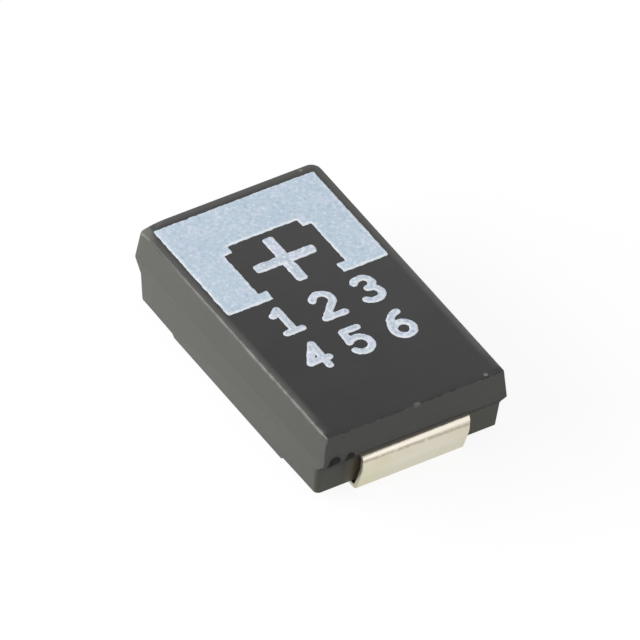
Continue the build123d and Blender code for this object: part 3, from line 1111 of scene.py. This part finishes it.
# %% [markdown]
# Now the layers are cut. The band and the plus sign replace their CAD inlays, and the numbers are added
# to the marked face. The thinner the ink, the cleaner its edge.

# %% Band, plus sign and numbers
for name, outline, low, high, ragged, material, *nodes in (
    ("printed_band", band, (-3.36, -1.95), (-0.40, 1.95), 0.016, full_ink, "polarity_band"),
    ("printed_plus", plus, (-2.12, -0.76), (-0.60, 0.76), 0.014, thin_ink, "plus_sign"),
    ("printed_numbers", numbers, (-0.34, -1.36), (1.90, 1.36), 0.012, thin_ink),
):
    settle(ink_layer(name, outline, low, high, ragged), material, "marking_ink", *nodes)

# %% [markdown]
# ## Inside the case
#
# The anode and its coats are never seen while the case is closed, but they are part of the object, and a
# cut-away view shows them. Their CAD shapes are right, so they stay and only get their finishes. The
# pellet is sintered powder: round grains that touch, with painted shade in the pores between them.


# %% Sintered tantalum and its wire
def sintered(tree, place):
    grains = tree.cells(place, 26)
    lumps = tree.noise(place, 7, detail=3)
    pores = grains.rises(0.45, 0.75)
    colour = tree.blend(lumps, shown(92, 92, 96), shown(122, 121, 122))
    # painted shade in the pores between the grains
    colour = colour.towards(pores, 38, 38, 42)
    normal = tree.relief(1 - grains + (lumps - 0.5) * 0.6, 0.012)
    return look(colour, 0.55 + pores * 0.25, normal)


def drawn_wire(tree, place):
    lines = tree.noise(tree.stretched(place, 1.5, 55, 55), 1.0, detail=3, roughness=0.6)
    heat = tree.noise(place, 3, detail=3)
    colour = tree.blend(lines, shown(140, 140, 146), shown(176, 175, 178))
    colour = colour.towards(heat.rises(0.5, 0.75) * 0.6, 122, 116, 124)
    return look(colour, 0.32 + (lines - 0.5) * 0.25, tree.relief(lines, 0.003))


inside = {
    "anode_pellet": finish("sintered_tantalum", sintered, Metallic=0.75),
    "anode_wire": finish("drawn_tantalum", drawn_wire, Metallic=1.0),
}

# %% [markdown]
# The washer is skived from white fluoropolymer, so fine rings of the cutter run round its face. The solid
# electrolyte is a blue-black polymer film, wrinkled where it dried. Graphite is a matt dark coat with
# tiny plates, whose shine is painted in as lighter colour.


# %% Washer, polymer film and graphite
def washer(tree, place):
    centred = tree.stretched(place, 0, 1, 1)
    radius = tree.add(
        "ShaderNodeVectorMath", {"operation": "DISTANCE"}, {0: centred, 1: (0, 0, 1.0)}, output="Value"
    )
    rings = (radius * 420).sine() * 0.5 + 0.5
    clouds = tree.noise(place, 5, detail=3)
    colour = tree.blend(clouds, shown(226, 226, 220), shown(240, 240, 236))
    return look(colour, 0.38 + (clouds - 0.5) * 0.2, tree.relief(rings * 0.5 + clouds, 0.002))


def polymer_film(tree, place):
    wrinkles = tree.noise(place, 6, detail=5, roughness=0.65, distortion=1.4)
    grains = tree.noise(place, 34, detail=2)
    colour = tree.blend(wrinkles.rises(0.35, 0.70), shown(28, 32, 42), shown(44, 50, 66))
    return look(colour, 0.42 + (wrinkles - 0.5) * 0.3, tree.relief(wrinkles + grains * 0.3, 0.008))


def graphite(tree, place):
    plates = tree.cells(place, 22)
    strokes_left = tree.noise(tree.stretched(place, 3, 14, 14), 1.0, detail=3)
    colour = tree.blend(strokes_left, shown(46, 46, 48), shown(66, 66, 68))
    # painted sheen on the plates
    colour = colour.towards(plates.rises(0.22, 0.08) * 0.7, 120, 120, 124)
    return look(colour, 0.50 + (plates - 0.4) * 0.3, tree.relief(strokes_left + plates * 0.4, 0.006))


inside["insulating_washer"] = finish("skived_fluoropolymer", washer, IOR=1.38)
inside["electrolyte_coat"] = finish("conductive_polymer_film", polymer_film, IOR=1.5)
inside["graphite_coat"] = finish("graphite_coat", graphite, IOR=1.6)

# %% [markdown]
# Silver paint is flakes of silver that lie flat in a little resin. It dries with soft sags from
# dipping and a grainy sheen. The adhesive has the same flakes, more resin and more lumps.


# %% Silver paint and adhesive
def silver_paint(tree, place):
    sags = tree.noise(tree.stretched(place, 0.8, 2.4, 2.4), 1.0, detail=3)
    flakes = tree.cells(place, 30)
    colour = tree.blend(sags.rises(0.35, 0.7), shown(196, 194, 188), shown(214, 212, 207))
    colour = colour.towards(flakes.rises(0.3, 0.6) * 0.5, 160, 157, 150)
    return look(colour, 0.42 + (flakes - 0.4) * 0.4, tree.relief(sags * 1.2 + flakes * 0.3, 0.010))


def silver_glue(tree, place):
    lumps = tree.noise(place, 4, detail=4, roughness=0.6)
    flakes = tree.cells(place, 24)
    colour = tree.blend(lumps, shown(168, 165, 157), shown(192, 189, 182))
    colour = colour.towards(flakes.rises(0.3, 0.6) * 0.6, 128, 124, 116)
    return look(colour, 0.48 + (lumps - 0.5) * 0.3, tree.relief(lumps + flakes * 0.4, 0.012))


inside["silver_coat"] = finish("silver_paint", silver_paint, Metallic=0.85)
inside["cathode_adhesive"] = finish("silver_adhesive", silver_glue, Metallic=0.75)

# %% [markdown]
# A CAD node keeps its mesh and its slot. Only the material in that slot is exchanged.

# %% Finishes on the kept CAD nodes
for node, material in inside.items():
    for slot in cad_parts[node].material_slots:
        slot.material = material
    print(node, "is", material.name)

# %% [markdown]
# ## Colours on screen
#
# The Standard view shows colours as they are written.

# %% Colours on screen
bpy.context.scene.view_settings.view_transform = "Standard"
